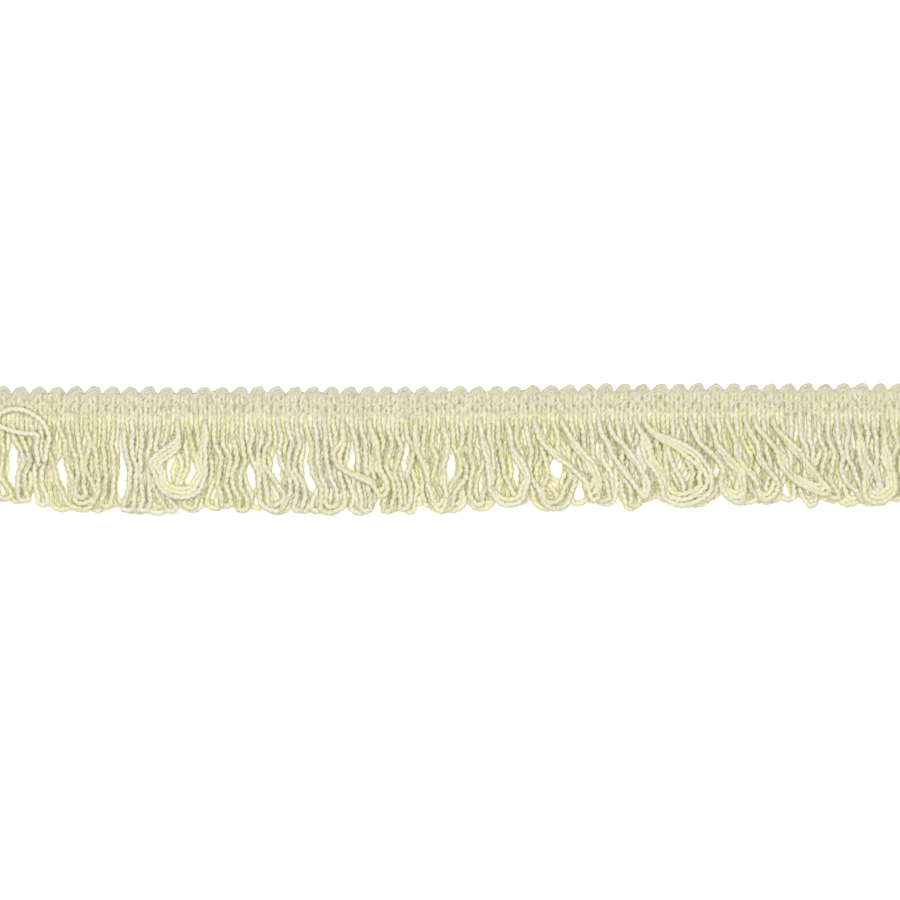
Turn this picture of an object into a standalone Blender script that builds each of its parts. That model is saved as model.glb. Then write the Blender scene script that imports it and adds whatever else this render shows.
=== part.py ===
"""Looped fringe trim, a cut length lying flat with its right side up.

The trim is one heading of stitched yarn with a scalloped top edge, and one skirt of yarn loops that
hang from it. Seen from above, X runs along the trim, Y runs from the loops up to the scallops, and Z
is its thickness. The back lies on Z = 0, and the origin is at the centre of the box it fills there.

Two solids are made:
  heading      the stitched band: its ribs, stitch bumps and scallops are raised in the face's points
  loop_fringe  the loops, grown from a narrow strip that stands for the roots caught in the heading
"""

import math

import bmesh
import bpy
import numpy as np
from mathutils import Vector

MM = 0.001

# Driving dimensions, in metres.
SCALLOPS = 50                # scallops along the cut length
SCALLOP_PITCH = 4.224 * MM   # one scallop, which is two ribs of stitches
WIDTH = 30.0 * MM            # overall width, from the longest loop to the highest scallop
HEADING = 7.25 * MM          # height of the stitched band, scallops included
SCALLOP_RISE = 1.3 * MM      # how far a scallop stands up from the notch beside it
BOW = 0.7 * MM               # how much higher the trim lies at its right end than at its left
GAP = 0.3 * MM               # parting between the heading and the strip of roots
STRIP = 1.0 * MM             # width of the strip of roots
STRAND_WIDE = 1.0 * MM       # a loop's yarn as it lies, across
STRAND_THICK = 0.9 * MM      # and from floor to top
ROW = 1.05 * MM              # height of one row of roots in the strip
BODY_THICK = 1.85 * MM       # the heading's thickness between its bumps
BUMP_THICK = 0.8 * MM        # how far a stitch stands up from that
EDGE_THICK = 1.1 * MM        # the heading's thickness at its outline
KNEE = 2.0 * MM              # a loop is free of its root this far below the strip
WAIST = 10.5 * MM            # and leans its own way this far below it
APART = 1.36 * MM            # nested loops lie this far apart, centre to centre
LEAST_EYE = 0.95 * MM        # half the distance between the legs of a loop at its turn, at least
SWAY = 1.0 * MM              # how far the loops of one layer wander sideways
ARC_POINTS = (4, 5, 5)       # points round the turn of a loop, in each layer
SHORTER = (0.6 * MM, 0.0, 0.2 * MM)  # how much shorter the loops of each layer are
SINGLE_SHORTER = 0.5 * MM    # and how much shorter a loop is that lies in no nest

# Heights of the yarn's centre above the floor: three layers of loops, and those that lie over them all.
LAYERS = (0.45 * MM, 1.55 * MM, 2.65 * MM, 3.85 * MM)
BACK, MIDDLE, FRONT, OVER = range(4)

# What follows from them.
RIB = SCALLOP_PITCH / 2
RIBS = 2 * SCALLOPS
LENGTH = SCALLOPS * SCALLOP_PITCH
ROOT_Y = WIDTH / 2 - HEADING - GAP - STRIP
ASIDE = (0.0, RIB / 4, -RIB / 4)     # how far to one side of its rib each layer's legs run

# The loops lie in bunches, each with its share of the ribs above it, from left to right. Lengths are
# in millimetres. lean: how far the bunch's foot lies to the right of its roots, in each layer. foot:
# its breadth at the bottom, as a share of its breadth at the roots. drop: its length below the strip.
# round: how much shorter its outer loops are. eye: half the width of the hole in a nest's innermost
# loop. The last three say how its roots pair up in each layer: 2 is one loop, 4 is two loops nested,
# 6 is three.
BUNCHES = (
    # ribs, lean back, middle, front, foot, drop, round, eye, back, middle, front
    (4, 1.0, 0.9, 0.8, 1.00, 18.8, 0.6, 1.3, "4", "22", "22"),
    (2, 1.6, 1.2, 1.6, 1.10, 19.6, 0.3, 0.9, "2", "2", ""),
    (8, 0.6, -0.6, 0.8, 0.98, 20.8, 1.2, 0.8, "242", "422", "62"),
    (6, -0.4, 0.6, 0.2, 0.98, 21.5, 1.0, 1.2, "42", "24", "222"),
    (6, 0.8, -0.6, 0.0, 0.96, 20.9, 1.6, 1.3, "24", "42", "22"),
    (2, -0.6, 0.4, 0.0, 1.00, 20.9, 0.2, 0.7, "2", "2", "2"),
    (4, 1.4, 2.6, 2.0, 1.05, 21.1, 1.2, 1.4, "22", "4", "4"),
    (6, 2.0, 1.0, 2.6, 0.94, 21.3, 0.9, 1.2, "42", "222", "24"),
    (4, 0.8, 1.8, 0.8, 0.92, 21.5, 0.6, 1.0, "22", "4", "2"),
    (4, -0.4, 0.8, 0.0, 0.98, 21.2, 0.4, 0.7, "4", "22", "22"),
    (6, -0.8, 0.4, -0.6, 0.95, 20.7, 1.4, 1.1, "222", "24", "4"),
    (6, 0.4, -0.6, 0.8, 1.02, 20.2, 1.6, 1.2, "24", "42", "22"),
    (6, 0.6, 1.2, 1.2, 0.98, 20.4, 1.2, 1.9, "6", "42", "4"),
    (4, 1.0, 1.6, 3.4, 0.98, 19.8, 0.5, 1.2, "22", "4", "2"),
    (2, 0.8, 1.4, 4.2, 1.10, 20.9, 0.2, 1.0, "2", "2", "2"),
    (4, -0.6, 1.2, 3.6, 0.92, 19.2, 0.6, 1.2, "4", "22", "2"),
    (6, -1.0, -1.0, -1.0, 0.92, 19.7, 1.4, 1.8, "42", "6", "4"),
    (6, 0.8, -0.3, 3.0, 0.94, 19.8, 1.5, 1.3, "24", "42", "2"),
    (2, 1.2, 0.0, 0.0, 1.00, 18.6, 0.2, 0.9, "2", "", ""),
    (2, 0.6, 0.0, 0.0, 1.00, 19.6, 0.2, 0.9, "2", "", ""),
    (10, 0.2, -0.2, 1.0, 0.90, 20.0, 1.6, 1.3, "442", "2422", "242"),
)

# Holes that go through every layer, because the yarns part round them at their waists: how far in
# millimetres each lies to the right of the trim's middle, and half its width.
HOLES = (
    (-100.9, 1.7), (-89.4, 1.5), (-75.5, 1.2), (-64.6, 1.3), (-60.0, 1.6), (-40.0, 1.3), (-32.9, 1.2),
    (-22.3, 1.0), (-10.2, 0.9), (-0.6, 2.1), (14.9, 1.2), (24.7, 1.7), (45.1, 1.5), (53.4, 1.4),
    (61.2, 1.8), (66.0, 1.3), (77.1, 1.0), (82.9, 1.0), (100.6, 1.3),
)
HOLE_WEIGHT = 30             # a hole gives way this many times less than a yarn does

# Single loops that stray over the rest. Each has the two ribs that it hangs from and its route, as
# distances in millimetres to the right of the trim's middle and below the line of the roots, with
# the layer that it lies in there. A half layer is a fold from one layer into the next.
STRAYS = (
    ("flipped up over the heading", (4, 5), (
        (-95.1, 4.3, 2), (-95.1, 8.0, 2), (-95.1, 9.2, 2.5), (-94.9, 8.0, 3), (-94.7, 4.3, 3),
        (-95.1, 2.2, 3), (-98.1, 1.9, 3), (-101.8, 1.0, 3), (-104.3, -0.4, 3), (-104.1, -2.2, 3),
        (-101.1, -3.6, 3), (-98.1, -3.4, 3), (-95.3, -2.0, 3), (-93.2, 0.1, 3), (-92.1, 3.3, 3),
        (-92.9, 7.0, 3), (-93.4, 8.2, 2.5), (-93.9, 7.0, 2), (-93.9, 3.8, 2))),
    ("wide ring", (20, 23), (
        (-62.8, 3.1, 3), (-65.8, 5.7, 3), (-68.3, 8.9, 3), (-68.3, 12.4, 3), (-66.5, 15.1, 3),
        (-63.2, 16.5, 3), (-60.0, 16.3, 3), (-57.5, 14.2, 3), (-56.3, 10.1, 3), (-55.9, 4.3, 3))),
    ("pale diagonal", (38, 41), (
        (-25.2, 3.4, 3), (-26.1, 7.3, 3), (-24.5, 10.3, 3), (-21.5, 12.1, 3), (-18.5, 13.8, 3),
        (-16.6, 16.3, 3), (-15.0, 14.7, 3), (-15.5, 10.1, 3), (-17.1, 4.3, 3))),
    ("thick pale loop", (46, 49), (
        (-8.1, 3.6, 3), (-7.4, 7.1, 3), (-5.5, 10.1, 3), (-4.6, 14.0, 3), (-4.2, 17.9, 3),
        (-2.8, 19.8, 3), (-1.2, 17.9, 3), (-1.2, 12.4, 3), (-0.9, 5.5, 3))),
    ("arc to the right", (53, 56), (
        (7.8, 3.6, 3), (8.5, 10.1, 3), (9.5, 15.1, 3), (11.8, 18.1, 3), (15.0, 18.4, 3),
        (17.5, 16.8, 3), (18.0, 14.0, 3), (16.4, 9.4, 3), (14.5, 3.8, 3))),
    ("leaning right, wide", (59, 62), (
        (20.7, 3.4, 3), (24.5, 7.3, 3), (28.4, 11.0, 3), (31.6, 14.4, 3), (33.0, 17.7, 3),
        (34.6, 16.3, 3), (34.2, 12.4, 3), (31.6, 8.0, 3), (27.2, 2.2, 3))),
    ("leaning right, narrow", (66, 67), (
        (35.3, 3.4, 3), (37.4, 8.0, 3), (40.6, 11.7, 3), (42.9, 14.9, 3), (44.5, 17.2, 3),
        (45.7, 14.9, 3), (44.3, 11.0, 3), (41.5, 7.1, 3), (38.0, 3.4, 3))),
    ("swirl", (70, 71), (
        (44.3, 4.5, 3), (46.2, 9.6, 3), (47.8, 14.2, 3), (49.9, 17.4, 3), (54.0, 19.1, 3),
        (57.7, 17.9, 3), (59.8, 15.4, 3), (59.8, 11.9, 3), (58.2, 8.5, 3), (54.9, 5.7, 3),
        (50.3, 3.8, 3), (46.6, 2.5, 3))),
    ("open arc", (76, 78), (
        (56.3, 2.2, 3), (59.5, 6.6, 3), (61.6, 9.9, 3), (62.5, 13.1, 3), (63.7, 16.1, 3),
        (66.0, 18.4, 3), (68.1, 17.9, 3), (68.3, 15.1, 3), (66.7, 11.7, 3), (63.9, 7.8, 3),
        (60.7, 2.2, 3))),
    ("short diagonal", (80, 82), (
        (64.9, 3.4, 3), (66.7, 7.6, 3), (68.8, 11.9, 3), (70.6, 15.8, 3), (72.7, 17.9, 3),
        (74.6, 16.1, 3), (74.3, 12.4, 3), (72.2, 8.2, 3), (69.5, 3.8, 3))),
    ("long diagonal", (83, 85), (
        (71.4, 2.2, 3), (74.8, 7.3, 3), (78.0, 11.5, 3), (81.5, 14.7, 3), (85.2, 16.5, 3),
        (87.2, 15.6, 3), (85.2, 12.4, 3), (81.0, 8.2, 3), (76.0, 2.4, 3))),
    ("small ring, left", (86, 87), (
        (77.7, 4.3, 2), (78.1, 10.1, 2), (79.5, 14.0, 2), (79.5, 16.8, 1.7), (78.0, 17.9, 1.3),
        (76.6, 16.8, 1), (76.8, 14.0, 1), (78.6, 9.9, 1), (79.3, 4.3, 1.4))),
    ("small ring, right", (88, 89), (
        (81.5, 4.3, 2), (81.9, 10.1, 2), (83.3, 14.2, 2), (83.8, 17.4, 1.7), (82.5, 19.3, 1.3),
        (81.0, 17.4, 1), (81.2, 14.2, 1), (82.9, 10.1, 1), (83.3, 4.3, 1.4))),
    ("last arc", (94, 97), (
        (94.2, 4.3, 3), (94.6, 9.4, 3), (95.1, 14.4, 3), (96.7, 17.7, 3), (99.5, 18.6, 3),
        (101.8, 17.0, 3), (102.5, 14.0, 3), (101.3, 10.1, 3), (100.4, 4.3, 3))),
)

# Where each scallop is sampled along the trim, as a share of its pitch, and the rows of the heading
# from its lower edge up: their share of the height to the notches, and how far the stitches stand up.
SCALLOP_SAMPLES = (0.0, 0.125, 0.25, 0.5, 0.63, 0.75)
FIRST_RIB, SECOND_RIB, NOTCH, CREST = 0.25, 0.75, 0.0, 0.60
HEADING_ROWS = (
    # share of the height, share of a stitch's thickness
    (0.16, 1.0),
    (0.33, 0.25),
    (0.50, 1.0),
    (0.72, 0.15),
    (0.98, 0.8),
)


def bow(x):
    """The trim's sideways bow at x: a smooth step from the left half to the right half."""
    t = min(max((x + 10 * MM) / (60 * MM), 0.0), 1.0)
    return BOW * (t * t * (3 - 2 * t) - 1)


def rib_x(rib):
    """The middle of a rib, counted from 0 at the left end."""
    return (rib + 0.5) * RIB - LENGTH / 2


def layer_height(layer):
    """A layer's height above the floor, a part layer lying between the two beside it."""
    return float(np.interp(layer, range(len(LAYERS)), LAYERS))


def sway(x, layer):
    """How far a layer's loops wander sideways at x: two slow sine waves, out of step by layer."""
    long_wave = math.sin(math.tau * x / (37 * MM) + 2.1 * layer + 0.4)
    short_wave = math.sin(math.tau * x / (17 * MM) - 1.7 * layer)
    return SWAY * (long_wave + 0.5 * short_wave)


def spread_out(things):
    """Places things in a row as near to where each is wanted as they go without overlapping.

    A thing is (place wanted, half width, weight). With each one's share of the row taken off, a
    crowd wants places that run backwards; such a crowd is gathered into one block at the weighted
    mean of what its members want.
    """
    along = [0.0]
    for (_, left, _), (_, right, _) in zip(things, things[1:]):
        along.append(along[-1] + left + right)
    blocks = []
    for (place, _, weight), offset in zip(things, along):
        blocks.append([place - offset, weight, 1])
        while len(blocks) > 1 and blocks[-2][0] > blocks[-1][0]:
            mean, weight, count = blocks.pop()
            last = blocks[-1]
            last[0] = (last[0] * last[1] + mean * weight) / (last[1] + weight)
            last[1] += weight
            last[2] += count
    starts = [place for place, _, count in blocks for _ in range(count)]
    return [start + offset for start, offset in zip(starts, along)]


def waists_of(nests, layer):
    """Where each leg of a layer lies at its waist: spread clear of its neighbours and of the holes."""
    legs = [(rib, rib_x(rib), nest["lean"]) for nest in nests for rib in nest["ribs"]]
    row = [(x + 0.5 * lean + 0.6 * sway(x, layer), APART / 2, 1, rib) for rib, x, lean in legs]
    for hole_x, half in HOLES:
        index = sum(wanted < hole_x * MM for wanted, *_ in row)
        row.insert(index, (hole_x * MM, half * MM, HOLE_WEIGHT, None))
    places = spread_out([thing for *thing, _ in row])
    return {rib: place for (*_, rib), place in zip(row, places) if rib is not None}


def nests_of(layer):
    """The nests of one layer from left to right: its ribs, its lean, and where its foot would lie."""
    strayed = {rib for _, ribs, _ in STRAYS for rib in ribs} if layer == FRONT else set()
    nests = []
    first = 0
    for ribs, *leans, foot, drop, rounding, eye, back, middle, front in BUNCHES:
        free = [rib for rib in range(first, first + ribs) if rib not in strayed]
        centre = rib_x(first + (ribs - 1) / 2)
        for size in map(int, (back, middle, front)[layer]):
            mine, free = free[:size], free[size:]
            x = sum(rib_x(rib) for rib in mine) / size
            outward = (x - centre) / (ribs * RIB / 2)
            turn = len(nests)
            shorter = SHORTER[layer] + (0.3 + 0.3 * math.sin(2.4 * turn + 1.3 * layer)) * MM
            shorter += SINGLE_SHORTER if size == 2 else 0.0
            openness = (0.85 + 0.15 * math.sin(1.9 * turn + layer)) * (0.8 + 0.15 * size)
            own_lean = (leans[layer] + 0.8 * math.sin(3.1 * turn + layer)) * MM
            nests.append({
                "ribs": mine,
                "lean": leans[layer] * MM,
                "foot": centre + own_lean + foot * (x - centre) + sway(x, layer),
                "drop": (drop - rounding * outward**2) * MM - shorter,
                "eye": max(LEAST_EYE, eye * MM * openness),
            })
        first += ribs
    return nests


def loop_route(layer, ribs, waist, foot, low, radius):
    """One loop's centre line: down from its left root, round an arc at the foot, up to its right root."""
    legs = []
    for root, side in zip(map(rib_x, ribs), waist):
        knee = root + 0.2 * (side - root) + 0.8 * ASIDE[layer]
        side += 0.4 * ASIDE[layer]
        legs.append([(root, ROOT_Y), (knee, ROOT_Y - KNEE), (side, ROOT_Y - WAIST)])
    steps = ARC_POINTS[layer] - 1
    angles = [math.pi * i / steps for i in range(steps + 1)]
    turn = [(foot - radius * math.cos(a), low + radius - radius * math.sin(a)) for a in angles]
    height = layer_height(layer)
    return [(x, y + bow(x), height) for x, y in legs[0] + turn + legs[1][::-1]]


def layer_routes(layer):
    """Every loop of one layer, as (root row, ribs, centre line), with its nests spread clear."""
    nests = nests_of(layer)
    waists = waists_of(nests, layer)
    feet = spread_out([
        (nest["foot"], nest["eye"] + (len(nest["ribs"]) / 2 - 0.5) * APART, 1) for nest in nests
    ])
    routes = []
    for nest, foot in zip(nests, feet):
        half = len(nest["ribs"]) // 2
        lowest = max(ROOT_Y - nest["drop"], -WIDTH / 2 - bow(foot)) + STRAND_WIDE / 2
        for ring in range(half):
            ribs = nest["ribs"][half - 1 - ring], nest["ribs"][half + ring]
            sides = [waists[rib] for rib in ribs]
            low = lowest + (half - 1 - ring) * APART
            radius = nest["eye"] + ring * APART
            routes.append((layer, ribs, loop_route(layer, ribs, sides, foot, low, radius)))
    return routes


def stray_route(ribs, places):
    """A straying loop's centre line, from one root through its places to the other root."""
    ends = [(rib_x(rib), ROOT_Y + bow(rib_x(rib)), layer_height(FRONT)) for rib in ribs]
    between = [
        (x * MM, ROOT_Y - below * MM + bow(x * MM), layer_height(layer)) for x, below, layer in places
    ]
    return [ends[0], *between, ends[1]]


def scallop(share):
    """A scallop's height at a share of its pitch: a sine hump leaning right, from notch to notch."""
    t = (share - NOTCH) % 1.0
    lean = math.log(0.5) / math.log((CREST - NOTCH) % 1.0)
    return math.sin(math.pi * t**lean)


def scallop_size(number):
    """How tall a scallop is beside the tallest one: an uneven beat along the trim, 0.72 to 1."""
    return 0.86 + 0.14 * math.sin(2.3 * number + 1.1 * math.sin(0.9 * number))


def rib_crown(share):
    """How near a place is to the middle of a rib: 1 on its crown and 0 in the furrow beside it."""
    away = min(abs((share - middle + 0.5) % 1.0 - 0.5) for middle in (FIRST_RIB, SECOND_RIB))
    return 0.5 + 0.5 * math.cos(math.pi * min(away / 0.25, 1.0))


def build_heading(material):
    """The stitched band: a flat back, walls at its outline, and a face raised at ribs and stitches."""
    foot_y = WIDTH / 2 - HEADING
    notch_y = WIDTH / 2 - SCALLOP_RISE
    bm = bmesh.new()
    backs, faces = [], []
    for number in range(SCALLOPS):
        samples = list(SCALLOP_SAMPLES) + [1.0] * (number == SCALLOPS - 1)
        for share in samples:
            x = (number + share) * SCALLOP_PITCH - LENGTH / 2
            crown = rib_crown(share)
            tip_y = notch_y + SCALLOP_RISE * scallop_size(number) * scallop(share)
            rise = bow(x)
            rows = [(foot_y, EDGE_THICK + 0.3 * BUMP_THICK * crown)]
            for part, bump in HEADING_ROWS:
                y = foot_y + part * (notch_y - foot_y)
                if part > 0.9:
                    y += 0.55 * (tip_y - notch_y)
                rows.append((y, BODY_THICK + BUMP_THICK * bump * (0.3 + 0.7 * crown)))
            rows.append((tip_y, EDGE_THICK))
            faces.append([bm.verts.new((x, y + rise, z)) for y, z in rows])
            backs.append([bm.verts.new((x, y + rise, 0.0)) for y in (foot_y, tip_y)])
    for here, there, back, next_back in zip(faces, faces[1:], backs, backs[1:]):
        for a, b, c, d in zip(here, here[1:], there[1:], there):
            bm.faces.new((a, b, c, d))
        bm.faces.new((back[0], back[1], next_back[1], next_back[0]))
        bm.faces.new((here[0], there[0], next_back[0], back[0]))
        bm.faces.new((here[-1], there[-1], next_back[1], back[1]))
    for face, back in ((faces[0], backs[0]), (faces[-1], backs[-1])):
        bm.faces.new([*face, back[1], back[0]])
    return finish("heading", bm, material)


def root_strip(bm):
    """The strip of roots, but for its lower side, which is a grid of cells: returns their corners."""
    xs = [rib * RIB - LENGTH / 2 for rib in range(RIBS + 1)]
    cells = [[bm.verts.new((x, ROOT_Y + bow(x), row * ROW)) for x in xs] for row in range(4)]
    top_y = ROOT_Y + STRIP
    far = [[bm.verts.new((x, top_y + bow(x), row * ROW)) for x in xs[::4]] for row in (0, 3)]
    for near, back in ((cells[0], far[0]), (cells[3], far[1])):
        for block in range(len(back) - 1):
            bm.faces.new([*near[4 * block:4 * block + 5], back[block + 1], back[block]])
    for a, b, c, d in zip(far[0], far[0][1:], far[1][1:], far[1]):
        bm.faces.new((a, b, c, d))
    for end in (0, -1):
        bm.faces.new([*(row[end] for row in cells), far[1][end], far[0][end]])
    return cells


def cell_corners(cells, row, rib, from_left):
    """A root cell's corners, in the order in which a strand's section starts or ends there."""
    left, right = (rib, rib + 1) if from_left else (rib + 1, rib)
    return [cells[row][left], cells[row][right], cells[row + 1][right], cells[row + 1][left]]


def add_strand(bm, cells, row, ribs, route):
    """One loop: four-sided rings along its centre line, joined to a root cell at each end."""
    rings = [cell_corners(cells, row, ribs[0], True)]
    side = Vector((1, 0, 0))
    points = [Vector(point) for point in route]
    for before, here, after in zip(points, points[1:], points[2:]):
        along = ((here - before).normalized() + (after - here).normalized()).normalized()
        side = (side - side.dot(along) * along).normalized()
        up = along.cross(side) * STRAND_THICK / 2
        across = side * STRAND_WIDE / 2
        corners = (here - across - up, here + across - up, here + 0.8 * across + up, here - 0.8 * across + up)
        rings.append([bm.verts.new(corner) for corner in corners])
    rings.append(cell_corners(cells, row, ribs[1], False))
    for ring, onward in zip(rings, rings[1:]):
        for i in range(4):
            j = (i + 1) % 4
            bm.faces.new((ring[i], ring[j], onward[j], onward[i]))


def build_loops(material):
    """The skirt of loops with the strip that its roots are fused into, as one closed body."""
    bm = bmesh.new()
    cells = root_strip(bm)
    routes = [route for layer in (BACK, MIDDLE, FRONT) for route in layer_routes(layer)]
    routes += [(FRONT, ribs, stray_route(ribs, places)) for _, ribs, places in STRAYS]
    unused = {(row, rib) for row in (BACK, MIDDLE, FRONT) for rib in range(RIBS)}
    for row, ribs, route in routes:
        add_strand(bm, cells, row, ribs, route)
        unused -= {(row, rib) for rib in ribs}
    for row, rib in sorted(unused):
        bm.faces.new(cell_corners(cells, row, rib, True))
    return finish("loop_fringe", bm, material)


def finish(name, bm, material):
    """Turns a bmesh into a named object with its faces outward and its material on."""
    bmesh.ops.recalc_face_normals(bm, faces=bm.faces)
    bmesh.ops.triangulate(bm, faces=bm.faces)
    mesh = bpy.data.meshes.new(name)
    bm.to_mesh(mesh)
    bm.free()
    mesh.materials.append(material)
    body = bpy.data.objects.new(name, mesh)
    bpy.context.scene.collection.objects.link(body)
    return body


def yarn_material(name, colour, roughness):
    """A plain cream yarn: no metal, softly rough, with the sheen of spun fibre."""
    material = bpy.data.materials.new(name)
    material.use_nodes = True
    shader = material.node_tree.nodes["Principled BSDF"]
    shader.inputs["Base Color"].default_value = (*colour, 1.0)
    shader.inputs["Roughness"].default_value = roughness
    shader.inputs["Metallic"].default_value = 0.0
    shader.inputs["Sheen Weight"].default_value = 0.3
    return material


def main():
    for old in list(bpy.data.objects):
        bpy.data.objects.remove(old, do_unlink=True)
    build_heading(yarn_material("heading yarn", (0.70, 0.66, 0.46), 0.75))
    build_loops(yarn_material("loop yarn", (0.74, 0.70, 0.50), 0.65))


main()
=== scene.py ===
# %% [markdown]
# # A looped fringe trim, yarn by yarn
#
# The trim lies flat with its right side up. X runs along it, Y runs from its loops up to its
# scallops, and Z is its thickness. It is made of one cream yarn of two plies, so the whole lesson
# comes down to two questions: where does each yarn run, and how does a line become a twisted yarn?
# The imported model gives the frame: its solids say where the heading and the loops are, and the
# yarns made here take their place.

import bpy
import numpy as np
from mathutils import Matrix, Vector


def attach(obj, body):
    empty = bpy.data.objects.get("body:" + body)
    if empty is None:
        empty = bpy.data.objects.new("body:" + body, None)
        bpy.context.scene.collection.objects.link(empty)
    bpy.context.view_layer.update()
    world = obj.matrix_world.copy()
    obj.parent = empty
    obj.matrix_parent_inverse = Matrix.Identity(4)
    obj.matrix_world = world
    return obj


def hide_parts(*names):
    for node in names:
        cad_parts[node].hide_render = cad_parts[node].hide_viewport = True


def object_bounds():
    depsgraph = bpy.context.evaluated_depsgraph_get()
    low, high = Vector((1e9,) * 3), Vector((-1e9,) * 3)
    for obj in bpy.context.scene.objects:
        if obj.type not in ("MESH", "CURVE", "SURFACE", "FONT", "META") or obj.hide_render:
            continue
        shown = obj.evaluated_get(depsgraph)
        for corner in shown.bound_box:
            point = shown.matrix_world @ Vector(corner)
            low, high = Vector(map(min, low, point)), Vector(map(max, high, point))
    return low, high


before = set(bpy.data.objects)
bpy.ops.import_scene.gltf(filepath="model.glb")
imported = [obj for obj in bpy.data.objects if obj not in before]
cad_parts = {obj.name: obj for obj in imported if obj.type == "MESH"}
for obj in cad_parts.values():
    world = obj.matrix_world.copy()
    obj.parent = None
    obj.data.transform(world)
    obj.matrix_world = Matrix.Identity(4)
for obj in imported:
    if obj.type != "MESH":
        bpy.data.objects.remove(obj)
cad_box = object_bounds()
box = [[round(float(c), 4) for c in corner] for corner in cad_box]
print("nodes:", sorted(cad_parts), "box:", box)

# %% [markdown]
# ## Sizes
#
# The same driving sizes as the solids have, in metres. Two ribs of stitches make one scallop, and
# one rib carries the leg of a loop in each of three layers. The yarn is thicker than its solid
# stand-in, because its plies bulge. It is soft too, so it lies pressed a little flat.

# %% Driving sizes
MM = 0.001
SCALLOPS = 50
SCALLOP_PITCH = 4.224 * MM
WIDTH = 30.0 * MM            # from the scallops' crests to the feet of the longest loops
HEADING = 7.25 * MM          # of that, the heading
BOW = 0.7 * MM               # how much lower the left half lies than the right
GAP = 0.3 * MM               # between the solid heading and the strip of the roots
STRIP = 1.0 * MM             # that strip's width
KNEE = 2.0 * MM              # from the roots to where a leg lies in its layer
WAIST = 10.5 * MM            # from the roots to a leg's waist
APART = 1.36 * MM            # least distance between the middles of neighbouring legs
LEAST_EYE = 0.95 * MM        # least radius of the foot of an innermost loop
SWAY = 1.0 * MM              # height of the slow wave in which a layer sways
STRAND_WIDE = 1.0 * MM       # width of a loop's solid strand

YARN_RADIUS = 0.74 * MM      # of the twisted yarn, out to the crown of a ply
HEADING_RADIUS = 0.66 * MM   # in the heading the yarn is drawn tighter
THREAD_RADIUS = 0.34 * MM    # of the threads on the back
PRESSED = 0.8                # height of a yarn beside its width, as it lies
TWIST = 2.8 * MM             # length of yarn in which its plies go once round
CORNERS = 8                  # round a yarn's section
LAYERS = (0.60 * MM, 1.64 * MM, 2.68 * MM, 3.78 * MM)    # height of each layer's middle
BACK, MIDDLE, FRONT, OVER = range(4)

RIB = SCALLOP_PITCH / 2
RIBS = 2 * SCALLOPS
LENGTH = SCALLOPS * SCALLOP_PITCH
TOP = WIDTH / 2
FOOT_Y = TOP - HEADING
ROOT_Y = FOOT_Y - GAP - STRIP
print(f"{SCALLOPS} scallops, {RIBS} ribs, {LENGTH / MM:.1f} mm long")
print(f"roots at y = {ROOT_Y / MM:.2f} mm")

# %% [markdown]
# ## How the loops fall
#
# Loose loops lie in bunches that lean this way and that, and in each bunch some loops lie inside
# others. A row of this table is one bunch, from left to right: how many ribs it hangs from, how far
# it leans in the back, middle and front layer, how broad its foot is compared with its roots, how
# long it is, how much shorter its outer loops are, how open its innermost loops are, and how its
# ribs pair up in each layer. Drawing 150 loops by hand would take a long table, and
# scattering them at random would not look like these. A row for each bunch is the middle way.

# %% The bunches, lengths in millimetres
BUNCHES = (
    # ribs, lean back, middle, front, foot, drop, round, eye, back, middle, front
    (4, 1.0, 0.9, 0.8, 1.00, 18.8, 0.6, 1.3, "4", "22", "22"),
    (2, 1.6, 1.2, 1.6, 1.10, 19.6, 0.3, 0.9, "2", "2", ""),
    (8, 0.6, -0.6, 0.8, 0.98, 20.8, 1.2, 0.8, "242", "422", "62"),
    (6, -0.4, 0.6, 0.2, 0.98, 21.5, 1.0, 1.2, "42", "24", "222"),
    (6, 0.8, -0.6, 0.0, 0.96, 20.9, 1.6, 1.3, "24", "42", "22"),
    (2, -0.6, 0.4, 0.0, 1.00, 20.9, 0.2, 0.7, "2", "2", "2"),
    (4, 1.4, 2.6, 2.0, 1.05, 21.1, 1.2, 1.4, "22", "4", "4"),
    (6, 2.0, 1.0, 2.6, 0.94, 21.3, 0.9, 1.2, "42", "222", "24"),
    (4, 0.8, 1.8, 0.8, 0.92, 21.5, 0.6, 1.0, "22", "4", "2"),
    (4, -0.4, 0.8, 0.0, 0.98, 21.2, 0.4, 0.7, "4", "22", "22"),
    (6, -0.8, 0.4, -0.6, 0.95, 20.7, 1.4, 1.1, "222", "24", "4"),
    (6, 0.4, -0.6, 0.8, 1.02, 20.2, 1.6, 1.2, "24", "42", "22"),
    (6, 0.6, 1.2, 1.2, 0.98, 20.4, 1.2, 1.9, "6", "42", "4"),
    (4, 1.0, 1.6, 3.4, 0.98, 19.8, 0.5, 1.2, "22", "4", "2"),
    (2, 0.8, 1.4, 4.2, 1.10, 20.9, 0.2, 1.0, "2", "2", "2"),
    (4, -0.6, 1.2, 3.6, 0.92, 19.2, 0.6, 1.2, "4", "22", "2"),
    (6, -1.0, -1.0, -1.0, 0.92, 19.7, 1.4, 1.8, "42", "6", "4"),
    (6, 0.8, -0.3, 3.0, 0.94, 19.8, 1.5, 1.3, "24", "42", "2"),
    (2, 1.2, 0.0, 0.0, 1.00, 18.6, 0.2, 0.9, "2", "", ""),
    (2, 0.6, 0.0, 0.0, 1.00, 19.6, 0.2, 0.9, "2", "", ""),
    (10, 0.2, -0.2, 1.0, 0.90, 20.0, 1.6, 1.3, "442", "2422", "242"),
)

# %% [markdown]
# Here and there the yarns of every layer part round a hole, and the surface below shows white. The
# holes stand in one row across the loops' waists. Each has two numbers: how far right of the
# trim's middle it is, and half its width.

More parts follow.
